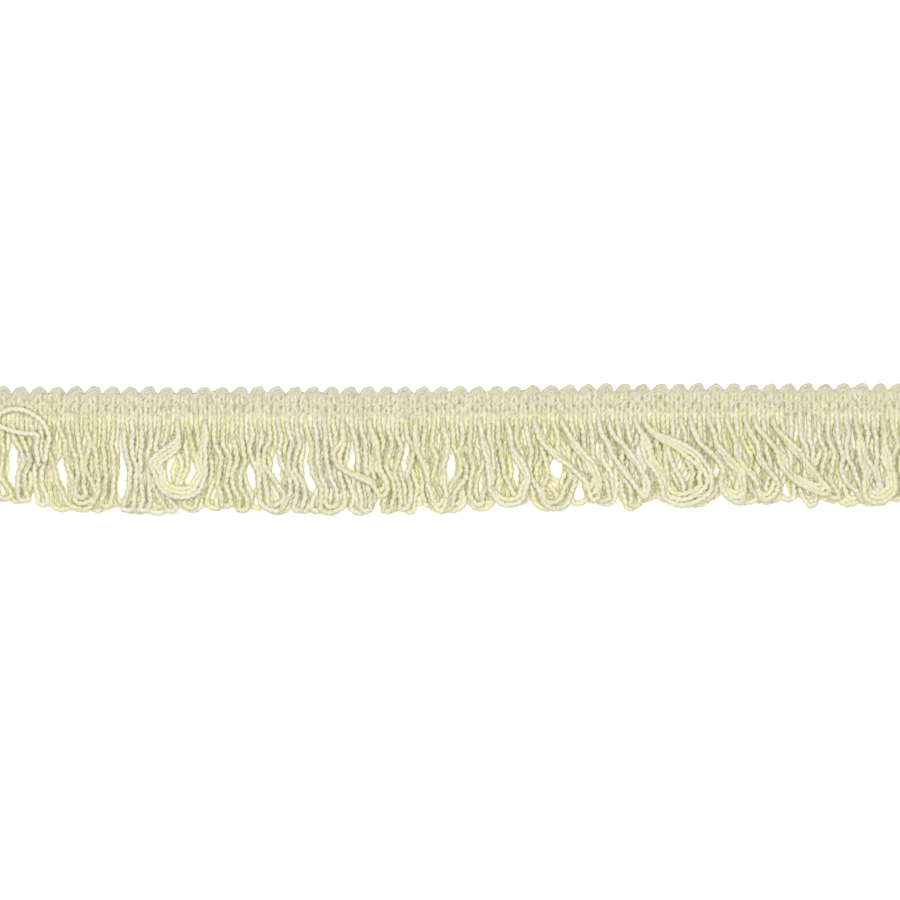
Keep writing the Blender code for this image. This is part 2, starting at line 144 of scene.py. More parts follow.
# %% The holes, in millimetres
HOLES = (
    (-100.9, 1.7), (-89.4, 1.5), (-75.5, 1.2), (-64.6, 1.3), (-60.0, 1.6), (-40.0, 1.3),
    (-32.9, 1.2), (-22.3, 1.0), (-10.2, 0.9), (-0.6, 2.1), (14.9, 1.2), (24.7, 1.7),
    (45.1, 1.5), (53.4, 1.4), (61.2, 1.8), (66.0, 1.3), (77.1, 1.0), (82.9, 1.0), (100.6, 1.3),
)
HOLE_WEIGHT = 30    # how much harder a hole is to push aside than a leg
print(len(HOLES), "holes")

# %% [markdown]
# Some loops stray over the others, and they give the fringe its tousled look: one at the left end
# is flipped up over the heading, one makes a ring, and several run down to the right. These are
# drawn one by one: the two ribs that each hangs from, and its places in millimetres to the right of
# the trim's middle and below the roots, with the layer that it lies in there.

# %% The straying loops
STRAYS = (
    ("flipped up over the heading", (4, 5), (
        (-95.1, 4.3, 2), (-95.1, 8.0, 2), (-95.1, 9.2, 2.5), (-94.9, 8.0, 3), (-94.7, 4.3, 3),
        (-95.1, 2.2, 3), (-98.1, 1.9, 3), (-101.8, 1.0, 3), (-104.3, -0.4, 3), (-104.1, -2.2, 3),
        (-101.1, -3.6, 3), (-98.1, -3.4, 3), (-95.3, -2.0, 3), (-93.2, 0.1, 3), (-92.1, 3.3, 3),
        (-92.9, 7.0, 3), (-93.4, 8.2, 2.5), (-93.9, 7.0, 2), (-93.9, 3.8, 2))),
    ("wide ring", (20, 23), (
        (-62.8, 3.1, 3), (-65.8, 5.7, 3), (-68.3, 8.9, 3), (-68.3, 12.4, 3), (-66.5, 15.1, 3),
        (-63.2, 16.5, 3), (-60.0, 16.3, 3), (-57.5, 14.2, 3), (-56.3, 10.1, 3), (-55.9, 4.3, 3))),
    ("pale diagonal", (38, 41), (
        (-25.2, 3.4, 3), (-26.1, 7.3, 3), (-24.5, 10.3, 3), (-21.5, 12.1, 3), (-18.5, 13.8, 3),
        (-16.6, 16.3, 3), (-15.0, 14.7, 3), (-15.5, 10.1, 3), (-17.1, 4.3, 3))),
    ("thick pale loop", (46, 49), (
        (-8.1, 3.6, 3), (-7.4, 7.1, 3), (-5.5, 10.1, 3), (-4.6, 14.0, 3), (-4.2, 17.9, 3),
        (-2.8, 19.8, 3), (-1.2, 17.9, 3), (-1.2, 12.4, 3), (-0.9, 5.5, 3))),
    ("arc to the right", (53, 56), (
        (7.8, 3.6, 3), (8.5, 10.1, 3), (9.5, 15.1, 3), (11.8, 18.1, 3), (15.0, 18.4, 3),
        (17.5, 16.8, 3), (18.0, 14.0, 3), (16.4, 9.4, 3), (14.5, 3.8, 3))),
    ("leaning right, wide", (59, 62), (
        (20.7, 3.4, 3), (24.5, 7.3, 3), (28.4, 11.0, 3), (31.6, 14.4, 3), (33.0, 17.7, 3),
        (34.6, 16.3, 3), (34.2, 12.4, 3), (31.6, 8.0, 3), (27.2, 2.2, 3))),
    ("leaning right, narrow", (66, 67), (
        (35.3, 3.4, 3), (37.4, 8.0, 3), (40.6, 11.7, 3), (42.9, 14.9, 3), (44.5, 17.2, 3),
        (45.7, 14.9, 3), (44.3, 11.0, 3), (41.5, 7.1, 3), (38.0, 3.4, 3))),
    ("swirl", (70, 71), (
        (44.3, 4.5, 3), (46.2, 9.6, 3), (47.8, 14.2, 3), (49.9, 17.4, 3), (54.0, 19.1, 3),
        (57.7, 17.9, 3), (59.8, 15.4, 3), (59.8, 11.9, 3), (58.2, 8.5, 3), (54.9, 5.7, 3),
        (50.3, 3.8, 3), (46.6, 2.5, 3))),
    ("open arc", (76, 78), (
        (56.3, 2.2, 3), (59.5, 6.6, 3), (61.6, 9.9, 3), (62.5, 13.1, 3), (63.7, 16.1, 3),
        (66.0, 18.4, 3), (68.1, 17.9, 3), (68.3, 15.1, 3), (66.7, 11.7, 3), (63.9, 7.8, 3),
        (60.7, 2.2, 3))),
    ("short diagonal", (80, 82), (
        (64.9, 3.4, 3), (66.7, 7.6, 3), (68.8, 11.9, 3), (70.6, 15.8, 3), (72.7, 17.9, 3),
        (74.6, 16.1, 3), (74.3, 12.4, 3), (72.2, 8.2, 3), (69.5, 3.8, 3))),
    ("long diagonal", (83, 85), (
        (71.4, 2.2, 3), (74.8, 7.3, 3), (78.0, 11.5, 3), (81.5, 14.7, 3), (85.2, 16.5, 3),
        (87.2, 15.6, 3), (85.2, 12.4, 3), (81.0, 8.2, 3), (76.0, 2.4, 3))),
    ("small ring, left", (86, 87), (
        (77.7, 4.3, 2), (78.1, 10.1, 2), (79.5, 14.0, 2), (79.5, 16.8, 1.7), (78.0, 17.9, 1.3),
        (76.6, 16.8, 1), (76.8, 14.0, 1), (78.6, 9.9, 1), (79.3, 4.3, 1.4))),
    ("small ring, right", (88, 89), (
        (81.5, 4.3, 2), (81.9, 10.1, 2), (83.3, 14.2, 2), (83.8, 17.4, 1.7), (82.5, 19.3, 1.3),
        (81.0, 17.4, 1), (81.2, 14.2, 1), (82.9, 10.1, 1), (83.3, 4.3, 1.4))),
    ("last arc", (94, 97), (
        (94.2, 4.3, 3), (94.6, 9.4, 3), (95.1, 14.4, 3), (96.7, 17.7, 3), (99.5, 18.6, 3),
        (101.8, 17.0, 3), (102.5, 14.0, 3), (101.3, 10.1, 3), (100.4, 4.3, 3))),
)
print(sum(bunch[0] for bunch in BUNCHES), "ribs in", len(BUNCHES), "bunches")
print(len(STRAYS), "straying loops")

# %% [markdown]
# ## Where things lie
#
# Small rules that every yarn shares: the middle of a rib, the slight bow of the whole trim, the
# height of a layer, and a slow sway that makes neighbouring loops lean together.

# %% Places and heights
def rib_x(rib):
    """The middle of a rib, counted from 0 at the left end: equal steps along the trim."""
    return (np.asarray(rib) + 0.5) * RIB - LENGTH / 2


def bow(x):
    """The trim's sideways bow: a smooth step, 3t^2 - 2t^3, from the left half to the right half."""
    t = np.clip((np.asarray(x) + 10 * MM) / (60 * MM), 0, 1)
    return BOW * (t * t * (3 - 2 * t) - 1)


def layer_height(layer):
    """A layer's height above the floor, read off between the two layers beside a part layer."""
    return np.interp(layer, range(len(LAYERS)), LAYERS)


def sway(x, layer):
    """A layer's sideways sway: two sine waves along the trim, 37 and 17 mm long."""
    long_wave = np.sin(2 * np.pi * x / (37 * MM) + 2.1 * layer + 0.4)
    return SWAY * (long_wave + 0.5 * np.sin(2 * np.pi * x / (17 * MM) - 1.7 * layer))


# %% [markdown]
# Loops in one layer lie side by side and never cross, so a crowd of them pushes apart. Moving
# overlapping pairs a little, many times over, would do it. There is also an exact way: take each
# loop's share of the row off its place, and merge neighbours that then run backwards into one
# block at their mean. That is isotonic regression, and it moves every loop as little as it can.

# %% Spread a row of loops until none overlap
def spread_out(wanted, half_widths, weights):
    """Places nearest to those wanted at which things of these half widths don't overlap."""
    along = np.concatenate([[0.0], np.cumsum(half_widths[:-1] + half_widths[1:])])
    blocks = []
    for place, weight in zip(wanted - along, weights):
        blocks.append([place, weight, 1])
        while len(blocks) > 1 and blocks[-2][0] > blocks[-1][0]:
            mean, weight, count = blocks.pop()
            last = blocks[-1]
            last[0] = (last[0] * last[1] + mean * weight) / (last[1] + weight)
            last[1] += weight
            last[2] += count
    return np.repeat([place for place, _, _ in blocks], [count for _, _, count in blocks]) + along


def waists_of(nests, layer):
    """Each leg's place at its waist: the one it wants, moved clear of the holes and its neighbours.
    It wants its rib's middle, plus half its bunch's lean and a part of the layer's sway there."""
    ribs = np.concatenate([nest["ribs"] for nest in nests])
    leans = np.repeat([nest["lean"] for nest in nests], [len(nest["ribs"]) for nest in nests])
    wanted = rib_x(ribs) + 0.5 * leans + 0.6 * sway(rib_x(ribs), layer)
    holes = np.array(HOLES) * MM
    at = (wanted[None] < holes[:, :1]).sum(axis=1)
    row = np.insert(wanted, at, holes[:, 0])
    halves = np.insert(np.full(len(ribs), APART / 2), at, holes[:, 1])
    weights = np.insert(np.ones(len(ribs)), at, HOLE_WEIGHT)
    places = spread_out(row, halves, weights)
    return dict(zip(ribs, places[weights == 1]))


# %% [markdown]
# ## The centre line of each loop
#
# A leg comes out from under the heading's stitches, settles into its layer, runs to its waist and
# turns at its foot. A handful of points says that, and a smooth curve through them is the yarn's
# centre line.

# %% The nests of one layer
SHORTER = (0.6 * MM, 0.0, 0.2 * MM)     # by how much each layer's loops are shorter
SINGLE_SHORTER = 0.5 * MM               # and a nest of one loop


def nests_of(layer):
    """One layer's nests, left to right: their ribs, their lean, and where their foot would lie.
    Sines of the nest's number vary the foot, the length and the eye, the same on every run."""
    strayed = {rib for _, ribs, _ in STRAYS for rib in ribs} if layer == FRONT else set()
    nests, first = [], 0
    for ribs, *leans, foot, drop, rounding, eye, back, middle, front in BUNCHES:
        free = [rib for rib in range(first, first + ribs) if rib not in strayed]
        centre = rib_x(first + (ribs - 1) / 2)
        for size in map(int, (back, middle, front)[layer]):
            mine, free = free[:size], free[size:]
            x = rib_x(mine).mean()
            outward = (x - centre) / (ribs * RIB / 2)
            turn = len(nests)
            shorter = SHORTER[layer] + (0.3 + 0.3 * np.sin(2.4 * turn + 1.3 * layer)) * MM
            shorter += SINGLE_SHORTER if size == 2 else 0.0
            openness = (0.85 + 0.15 * np.sin(1.9 * turn + layer)) * (0.8 + 0.15 * size)
            nests.append({
                "ribs": mine,
                "lean": leans[layer] * MM,
                "foot": centre + (leans[layer] + 0.8 * np.sin(3.1 * turn + layer)) * MM
                        + foot * (x - centre) + sway(x, layer),
                "drop": (drop - rounding * outward**2) * MM - shorter,
                "eye": max(LEAST_EYE, eye * MM * openness),
            })
        first += ribs
    return nests


# %% Out of the heading and down
ASIDE = (0.0, 0.25 * RIB, -0.25 * RIB)     # each layer leaves its rib on its own side
HEADING_Z = (1.20 * MM, 1.95 * MM, 2.05 * MM)    # how high its yarn runs at the heading's foot
UNDER = 1.7 * MM                           # how far it runs on under the stitches
SUNK = 0.25 * MM                           # how much lower it ends there
CAUGHT = 0.3 * MM                          # how far into the heading its foot holds a yarn


def start_of(rib, layer, height):
    """A leg's first points: under the stitches, at the heading's foot, and on its way down to or
    up to its layer's height."""
    x = rib_x(rib) + ASIDE[layer]
    under = (x, FOOT_Y + UNDER, HEADING_Z[layer] - SUNK)
    foot = (x, FOOT_Y + CAUGHT, HEADING_Z[layer])
    root = (x, ROOT_Y, HEADING_Z[layer] + 0.6 * (height - HEADING_Z[layer]))
    return [under, foot, root]


def loop_points(layer, ribs, waist, foot, low, radius):
    """One loop's points: down its left leg, round a half circle at its foot, up its right leg."""
    height = LAYERS[layer]
    knee_y, turn_y = ROOT_Y - KNEE, low + radius
    legs = []
    for rib, side in zip(ribs, waist):      # on its way down a leg leaves its side of the rib
        knee_x = rib_x(rib) + 0.2 * (side - rib_x(rib)) + 0.8 * ASIDE[layer]
        legs.append(start_of(rib, layer, height) + [
            (knee_x, knee_y, height), (side + 0.4 * ASIDE[layer], ROOT_Y - WAIST, height)])
    angles = np.linspace(0, np.pi, 5)
    turn = [(foot - radius * np.cos(a), turn_y - radius * np.sin(a), height) for a in angles]
    return np.array(legs[0] + turn + legs[1][::-1])


# %% Every loop of a layer, and the straying ones
def layer_loops(layer):
    """The points of each loop in a layer, its nests clear of each other at waist and foot."""
    nests = nests_of(layer)
    waists = waists_of(nests, layer)
    reach = np.array([nest["eye"] + (len(nest["ribs"]) / 2 - 0.5) * APART for nest in nests])
    feet = spread_out(np.array([nest["foot"] for nest in nests]), reach, np.ones(len(nests)))
    loops = []
    for nest, foot in zip(nests, feet):
        half = len(nest["ribs"]) // 2
        lowest = max(ROOT_Y - nest["drop"], -WIDTH / 2 - bow(foot)) + STRAND_WIDE / 2
        for ring in range(half):
            pair = nest["ribs"][half - 1 - ring], nest["ribs"][half + ring]
            sides = [waists[rib] for rib in pair]
            low = lowest + (half - 1 - ring) * APART
            loops.append(loop_points(layer, pair, sides, foot, low, nest["eye"] + ring * APART))
    return loops


def stray_loop(ribs, places):
    """The points of a straying loop: its root, the places drawn for it, and its other root."""
    height = layer_height(min(places[0][2], places[-1][2]))
    first, last = (start_of(rib, FRONT, height) for rib in ribs)
    between = [(x * MM, ROOT_Y - below * MM, layer_height(layer)) for x, below, layer in places]
    return np.array(first + between + last[::-1])


loops = {layer: layer_loops(layer) for layer in (BACK, MIDDLE, FRONT)}
loops[OVER] = [stray_loop(ribs, places) for _, ribs, places in STRAYS]
print("loops in each layer, from the back:", [len(loops[layer]) for layer in loops])

# %% [markdown]
# ## From points to a smooth line
#
# A Catmull-Rom curve passes through its points with an even hand. It is read off densely, then
# again at equal steps, because twist must be even along the yarn. Every line gets the same number
# of steps, so a whole layer is one array. A limp yarn also wanders: neighbours share one wave, and
# each has two of its own, a slow one and a small quick one. All of them die away at the roots.

# %% Smooth, even and wandering lines
def smooth_line(points, count):
    """Catmull-Rom through the points, then linear in arc length: count points at equal steps."""
    padded = np.vstack([2 * points[0] - points[1], points, 2 * points[-1] - points[-2]])
    t = np.linspace(0, 1, 16, endpoint=False)[None, :, None]
    a, b, c, d = (padded[i:len(padded) - 3 + i, None, :] for i in range(4))
    curve = 0.5 * (2 * b + (c - a) * t + (2 * a - 5 * b + 4 * c - d) * t**2
                   + (3 * b - a - 3 * c + d) * t**3)
    curve = np.vstack([curve.reshape(-1, 3), points[-1:]])
    walked = np.concatenate([[0.0], np.cumsum(np.linalg.norm(np.diff(curve, axis=0), axis=1))])
    even = np.linspace(0, walked[-1], count)
    return np.stack([np.interp(even, walked, curve[:, axis]) for axis in range(3)], axis=-1)


def wander(lines, layer, rng):
    """Shifts lines sideways, and up or down a little but for the lowest layer, by sine waves of
    their depth that grow from nothing at the roots. Then the whole trim's bow is added."""
    x, y = lines[..., 0], lines[..., 1]
    free = np.clip((ROOT_Y - y) / (5 * MM), 0, 1)
    own = rng.uniform(0, 2 * np.pi, (3, len(lines), 1))
    shared = 0.30 * np.sin(2 * np.pi * (y / (9.3 * MM) + x / (23 * MM)) + 1.9 * layer)
    quick = 0.12 * np.sin(2 * np.pi * y / (4.3 * MM) + own[0])
    slow = 0.52 * np.sin(2 * np.pi * y / (12 * MM) + own[1])
    lines[..., 0] += free * (quick + slow + shared) * MM
    if layer != BACK:
        lines[..., 2] += free * 0.22 * MM * (0.6 + np.sin(2 * np.pi * y / (6.3 * MM) + own[2]))
    lines[..., 1] += bow(lines[..., 0])
    return lines


STEPS = 200
rng = np.random.default_rng(11)
loop_lines = {}
for layer, points in loops.items():
    steps = STEPS + STEPS // 4 if layer == OVER else STEPS      # the straying ones are longer
    lines = np.stack([smooth_line(p, steps) for p in points])
    loop_lines[layer] = wander(lines, layer, rng)
metres = sum(np.linalg.norm(np.diff(lines, axis=1), axis=2).sum() for lines in loop_lines.values())
print(f"{metres:.2f} m of yarn in the loops")

# %% [markdown]
# A loop that strays is seldom alone: one or two others follow it inside its bend and make a bundle.
# The solids leave them out. A nest of its own for each would need more tables, while a copy that is
# drawn in towards the loop's middle runs beside it by itself, and meets it again at the roots.

# %% Loops that follow the straying ones
FOLLOWED = [1, 2, 3, 4, 5, 6, 7, 8, 9, 10, 13]      # rows of STRAYS, counted from 0
FOLLOWED_TWICE = [1, 5, 7, 8, 10, 13]


def beside(lines, inward, lower):
    """Yarns that follow others inside their bend: below the roots each point moves a share of the
    way to its loop's middle, a little down, and sideways by a sine wave of its depth."""
    free = np.clip((ROOT_Y - lines[..., 1:2]) / (6 * MM), 0, 1)
    middle = (free * lines).sum(axis=1, keepdims=True) / free.sum(axis=1, keepdims=True)
    start = 2.4 * np.arange(len(lines))[:, None]
    aside = 0.3 * MM * np.sin(2 * np.pi * lines[..., 1] / (7 * MM) + start)
    moved = lines + free * ((middle - lines) * (inward, inward, 0.0) - (0.0, 0.0, lower))
    moved[..., 0] += free[..., 0] * aside
    return moved


follow_lines = np.concatenate([
    beside(loop_lines[OVER][FOLLOWED], 0.16, 0.35 * MM),
    beside(loop_lines[OVER][FOLLOWED_TWICE], 0.32, 0.55 * MM),
])
print(len(follow_lines), "yarns that follow a straying one")

# %% [markdown]
# ## From a line to a twisted yarn
#
# The real yarn is two plies laid round each other. Two thin tubes wound round the line would show
# that, at twice the cost, with each ply hidden on one side. Here one tube has a section with two
# lobes, like a figure of eight, and the section turns as it goes. Its corners turn with it, so
# the mesh's own edges follow the plies and the groove between them stays sharp.

# %% A frame at each step of a line
def side_vectors(lines):
    """Across-vectors carried along each line: at every step the last one, less its part along the
    line. The loop is over steps, and each step does all the lines at once."""
    along = np.gradient(lines, axis=1)
    along /= np.linalg.norm(along, axis=2, keepdims=True)
    sides = np.empty_like(along)
    side = np.cross([0.0, 0.0, 1.0], along[:, 0])
    for step in range(lines.shape[1]):
        side = side - (side * along[:, step]).sum(-1, keepdims=True) * along[:, step]
        side /= np.linalg.norm(side, axis=1, keepdims=True)
        sides[:, step] = side
    return sides, np.cross(along, sides)


def two_ply_section(radius):
    """Radius at each corner angle a of two overlapping plies: o |cos a| + sqrt(p^2 - o^2 sin^2 a),
    with plies of radius p whose centres lie o from the middle, and o + p the yarn's radius."""
    angle = np.arange(CORNERS) * 2 * np.pi / CORNERS
    ply, offset = 0.72 * radius, 0.28 * radius
    return angle, offset * np.abs(np.cos(angle)) + np.sqrt(ply**2 - (offset * np.sin(angle))**2)


# %% The surface of many yarns at once
def yarn_surface(lines, radius, twist, starts):
    """Corner points of every ring: line + r(a) (cos(a + w) side + sin(a + w) up), where the twist
    w grows evenly with the distance along the yarn from its own start, and the height is pressed
    to a share. Returns points, faces and face-corner UVs: round the yarn, and millimetres along."""
    count, steps, _ = lines.shape
    side, up = side_vectors(lines)
    gone = np.linalg.norm(np.diff(lines, axis=1), axis=2).cumsum(axis=1)
    gone = np.concatenate([np.zeros((count, 1)), gone], axis=1)
    angle, reach = two_ply_section(radius)
    turned = (angle + (2 * np.pi * gone / twist + starts[:, None])[..., None])[..., None]
    offset = np.cos(turned) * side[:, :, None] + np.sin(turned) * up[:, :, None]
    points = lines[:, :, None] + reach[:, None] * offset * (1, 1, PRESSED)

    ring, corner = np.meshgrid(np.arange(steps - 1), np.arange(CORNERS), indexing="ij")
    here, there, after = ring * CORNERS, (ring + 1) * CORNERS, (corner + 1) % CORNERS
    quads = np.stack([here + corner, here + after, there + after, there + corner], axis=-1)
    fan = np.arange(1, CORNERS - 2, 2)
    cap = np.stack([0 * fan, fan + 2, fan + 1, fan], axis=-1)
    last = (steps - 1) * CORNERS
    quads = np.vstack([quads.reshape(-1, 4), cap, last + cap[:, ::-1]])
    faces = quads[None] + (np.arange(count) * steps * CORNERS)[:, None, None]

    u = np.stack([corner, corner + 1, corner + 1, corner], axis=-1).reshape(-1, 4) / CORNERS
    row = np.stack([ring, ring, ring + 1, ring + 1], axis=-1).reshape(-1, 4)
    u = np.vstack([u, np.zeros((2 * len(cap), 4))])
    row = np.vstack([row, np.zeros(cap.shape, int), np.full(cap.shape, steps - 1)])
    uvs = np.stack([np.broadcast_to(u, (count, *u.shape)), gone[:, row] / MM], axis=-1)
    return points.reshape(-1, 3), faces.reshape(-1, 4), uvs.reshape(-1, 2)


# %% [markdown]
# No two yarns in cream cotton are quite the same shade, so every yarn gets a tone of its own at
# random. On top of it, painted light makes each yarn paler up towards its crown, and painted shade
# makes it warmer down its sides, where light has passed from yarn to yarn. Tone is stored as an
# attribute that the material reads. A tone painted on by place would cut across the yarns.

# %% Put a surface into a mesh
def mesh_piece(name, points, faces, uvs, tones, material):
    """A smooth mesh object at the origin from arrays, with its UV map and one tone a point."""
    mesh = bpy.data.meshes.new(name)
    mesh.vertices.add(len(points))
    mesh.vertices.foreach_set("co", points.astype(np.float32).ravel())
    mesh.loops.add(faces.size)
    mesh.loops.foreach_set("vertex_index", faces.astype(np.int32).ravel())
    mesh.polygons.add(len(faces))
    face_starts = np.arange(0, faces.size, faces.shape[1], dtype=np.int32)
    mesh.polygons.foreach_set("loop_start", face_starts)
    mesh.uv_layers.new(name="yarn").data.foreach_set("uv", uvs.astype(np.float32).ravel())
    tone = mesh.attributes.new("tone", "FLOAT", "POINT")
    tone.data.foreach_set("value", tones.astype(np.float32))
    mesh.update(calc_edges=True)
    mesh.validate()
    mesh.shade_smooth()
    mesh.materials.append(material)
    piece = bpy.data.objects.new(name, mesh)
    bpy.context.scene.collection.objects.link(piece)
    print(f"{name}: {len(faces)} faces")
    return piece


# Painted light and shade: each yarn's tone grows paler towards its crown and warmer down its sides.
PAINTED_CROWN_LIGHT = 0.9          # how much the tone grows from a yarn's middle height to its crown
OWN_TONE_AT = 0.6       # and how far up, in that measure, it is the yarn's own


def stand_for(piece, node):
    """The piece rides on the trim in the place of a node of the frame, which it hides."""
    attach(piece, "root")
    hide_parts(node)


def yarn_piece(name, lines, radius, material, node, twist=TWIST, tones=(0.0, 1.0)):
    """Many yarns as one piece, each with its own tone and start of twist. The tone is that of the
    yarn plus a share of how far up its side the point lies: painted light on the crowns and painted
    shade, warmer, in the furrows."""
    count, steps, _ = lines.shape
    tones = np.repeat(rng.uniform(*tones, count), steps * CORNERS)
    starts = rng.uniform(0, 2 * np.pi, count)
    points, faces, uvs = yarn_surface(lines, radius, twist, starts)
    height = (points[:, 2] - np.repeat(lines[..., 2].ravel(), CORNERS)) / (radius * PRESSED)
    # painted light and shade: the tone grows paler towards the crown and warmer down the sides
    tones = np.clip(tones + PAINTED_CROWN_LIGHT * (height - OWN_TONE_AT), 0, 1)
    stand_for(mesh_piece(name, points, faces, uvs, tones, material), node)


# %% [markdown]
# Spun cotton is hairy: loose fibres stand off it and cross from yarn to yarn. Too fine to be seen
# one by one, they still soften every edge. A hair system would not survive the export, so each
# fibre is a thin spindle of five points: its root, three round its bend, its tip.

# %% Loose fibres
FIBRE_RADIUS = 0.04 * MM
FIBRE_TONES = (0.5, 1.0)


def fuzz_piece(name, lines, radius, material, node, number):
    """Spindles on the upper half of yarns picked at random: root about at the surface, bend at half
    the fibre's length along a slanted direction and lifted out, tip at the whole length, and
    lifted out less or bent back in."""
    which = rng.integers(0, lines.shape[0], number)
    step = rng.integers(2, lines.shape[1] - 2, number)
    side, up = (vectors[which, step] for vectors in side_vectors(lines))
    round_it = rng.uniform(0, np.pi, (number, 1))
    slant = rng.normal(0, 0.7, (number, 1))
    length = rng.uniform(1.0, 2.4, (number, 1)) * MM
    lift = rng.uniform(0.08, 0.25, (number, 1)) * MM
    out = np.cos(round_it) * side + np.sin(round_it) * up
    across = np.cos(round_it) * up - np.sin(round_it) * side
    onward = np.cos(slant) * np.cross(side, up) + np.sin(slant) * across
    root = lines[which, step] + 0.9 * radius * out * (1, 1, PRESSED)
    bend = root + 0.5 * length * onward + lift * out
    tip = root + length * onward + rng.uniform(-0.5, 0.8, (number, 1)) * lift * out
    corner = FIBRE_RADIUS * np.exp(2j * np.pi * np.arange(3) / 3)[None, :, None]
    ring = bend[:, None] + corner.real * np.cross(onward, out)[:, None] + corner.imag * out[:, None]
    points = np.concatenate([root[:, None], ring, tip[:, None]], axis=1)
    points[..., 2] = np.abs(points[..., 2])     # what would reach into the floor bends back up
    faces = np.array([[1, 2, 0], [2, 3, 0], [3, 1, 0], [2, 1, 4], [3, 2, 4], [1, 3, 4]])
    faces = (faces[None] + 5 * np.arange(number)[:, None, None]).reshape(-1, 3)
    tones = np.repeat(rng.uniform(*FIBRE_TONES, number), 5)
    uvs = np.zeros((faces.size, 2))
    stand_for(mesh_piece(name, points.reshape(-1, 3), faces, uvs, tones, material), node)


# %% [markdown]
# ## The yarn's finish
#
# Cream cotton with a soft lustre. Up close each ply is a bundle of fibres that run along it, so the
# bump is a noise stretched along the yarn's own UV map. Because the mesh turns with the twist, the
# fibres do too. Colour varies in two ways: by tone, from yarn to yarn at random and up each yarn's
# side as painted light and shade, and in soft patches, by a noise on Object coordinates. Light
# that soaks into the fibre is a little subsurface scattering. The same material is made for four
# yarns: the lower loops, the upper ones, painted a shade darker to offset the full light on them,
# the heading, and its edge, painted a shade darker as painted shade.

# %% A cream yarn material
COTTON = {
    "Sheen Weight": 0.08,
    "Sheen Roughness": 0.4,
    "Subsurface Weight": 0.15,
    "Subsurface Radius": (1.0, 1.0, 0.95),
    "Subsurface Scale": 0.5 * MM,
    "Specular IOR Level": 0.3,
}


def yarn_material(name, pale, warm, roughness):
    """Cream two-ply yarn. The share of pale in its colour is 0.75 of the tone plus 0.55 of the
    patches less 0.20, the rest is warm. The fibre noise bumps it and varies the roughness."""
    material = bpy.data.materials.new(name)
    material.use_nodes = True
    nodes, links = material.node_tree.nodes, material.node_tree.links
    shader = nodes["Principled BSDF"]
    for socket, value in COTTON.items():
        shader.inputs[socket].default_value = value

    tone = nodes.new("ShaderNodeAttribute")
    tone.attribute_name = "tone"
    place = nodes.new("ShaderNodeTexCoord")
    patches = nodes.new("ShaderNodeTexNoise")
    patches.inputs["Scale"].default_value = 420.0                # patches of about 2.4 mm
    patches.inputs["Detail"].default_value = 3.0
    links.new(place.outputs["Object"], patches.inputs["Vector"])
    share = nodes.new("ShaderNodeMath")
    share.operation = "MULTIPLY_ADD"
    share.use_clamp = True
    share.inputs[1].default_value = 0.55                         # of the patches
    links.new(patches.outputs["Fac"], share.inputs[0])
    less = nodes.new("ShaderNodeMath")
    less.operation = "MULTIPLY_ADD"
    less.inputs[1].default_value = 0.75                          # of the tone
    less.inputs[2].default_value = -0.20
    links.new(tone.outputs["Fac"], less.inputs[0])
    links.new(less.outputs[0], share.inputs[2])
    colour = nodes.new("ShaderNodeValToRGB")
    colour.color_ramp.elements[0].color = (*warm, 1)
    colour.color_ramp.elements[1].color = (*pale, 1)
    links.new(share.outputs[0], colour.inputs["Fac"])
    links.new(colour.outputs["Color"], shader.inputs["Base Color"])

    along = nodes.new("ShaderNodeUVMap")
    along.uv_map = "yarn"
    stretch = nodes.new("ShaderNodeMapping")
    stretch.inputs["Scale"].default_value = (26.0, 1.3, 1.0)     # once round, and each mm along
    links.new(along.outputs["UV"], stretch.inputs["Vector"])
    fibre = nodes.new("ShaderNodeTexNoise")
    fibre.inputs["Scale"].default_value = 1.0
    fibre.inputs["Detail"].default_value = 4.0
    links.new(stretch.outputs["Vector"], fibre.inputs["Vector"])
    bump = nodes.new("ShaderNodeBump")
    bump.inputs["Strength"].default_value = 0.6
    bump.inputs["Distance"].default_value = 0.06 * MM
    links.new(fibre.outputs["Fac"], bump.inputs["Height"])
    links.new(bump.outputs["Normal"], shader.inputs["Normal"])
    rough = nodes.new("ShaderNodeMapRange")
    rough.inputs["To Min"].default_value = roughness - 0.12
    rough.inputs["To Max"].default_value = roughness + 0.12
    links.new(fibre.outputs["Fac"], rough.inputs["Value"])
    links.new(rough.outputs["Result"], shader.inputs["Roughness"])
    return material


loop_yarn = yarn_material("loop yarn", (0.965, 0.95, 0.89), (0.96, 0.905, 0.43), 0.60)
# painted shade: the upper loops' yarn is a shade darker, to offset the full light on them
upper_yarn_painted_darker = yarn_material("upper loop yarn painted darker", (0.915, 0.90, 0.85), (0.93, 0.875, 0.415), 0.60)
heading_yarn = yarn_material("heading yarn", (0.91, 0.88, 0.695), (0.905, 0.852, 0.563), 0.60)
# painted shade: the scallops' edge yarn is a shade darker than the heading's
edge_yarn_painted_shade = yarn_material("edge yarn painted shade", (0.78, 0.75, 0.607), (0.775, 0.722, 0.51), 0.64)

# %% [markdown]
# ## The loops
#
# One piece for each layer and one for the followers stand for the skirt of loops. A separate piece
# for each loop would be slower to handle and look the same. The lower layers get the yellower
# tones, a painted shade in the depth, so that the upper ones stand out; within a layer the tone
# still varies at random. The upper layers and the followers have a yarn painted a shade darker, to
# offset the full light on them. The lowest layer gets no loose fibres, because other yarns hide
# most of it, nor do the followers, because the yarns beside them have theirs.

